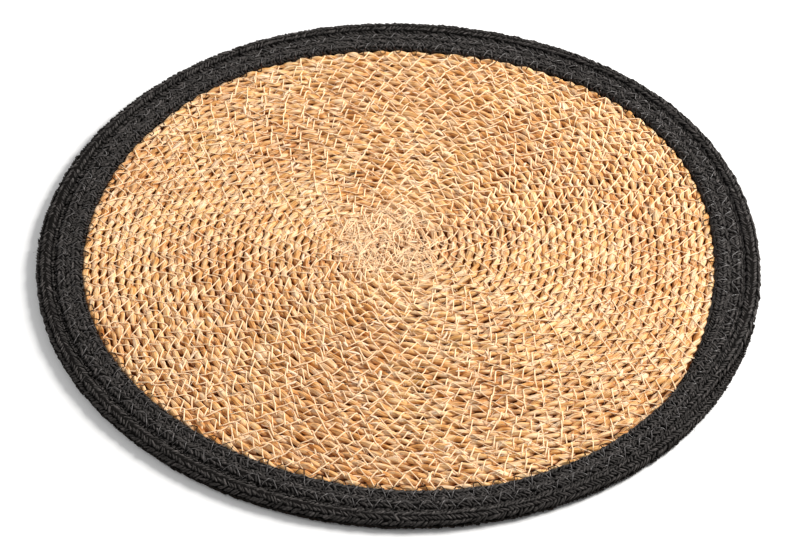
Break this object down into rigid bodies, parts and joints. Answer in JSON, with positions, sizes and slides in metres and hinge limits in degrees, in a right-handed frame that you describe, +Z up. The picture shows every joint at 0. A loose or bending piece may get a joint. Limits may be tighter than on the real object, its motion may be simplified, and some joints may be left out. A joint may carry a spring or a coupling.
{
  "type": "seagrass placemat",
  "caption": "Round flat placemat coiled from twisted seagrass cord, zigzag stitched, with a raised black braided border.",
  "frame": {"origin": "middle of the mat's box, on the surface that the mat lies on", "axes": "+Z up through the mat's thickness, towards what stands on it; +X and +Y lie in the mat's plane"},
  "size_m": [0.379, 0.379, 0.0066],
  "materials": {
    "seagrass": "dry twisted seagrass cord in honey and straw tones, sewn with cream zigzag thread",
    "black_braid": "matte, slightly fuzzy black braided cord, sewn with dark grey zigzag thread"
  },
  "bodies": {
    "root": {"seagrass_field": "seagrass", "braid_border": "black_braid"}
  },
  "joints": []
}
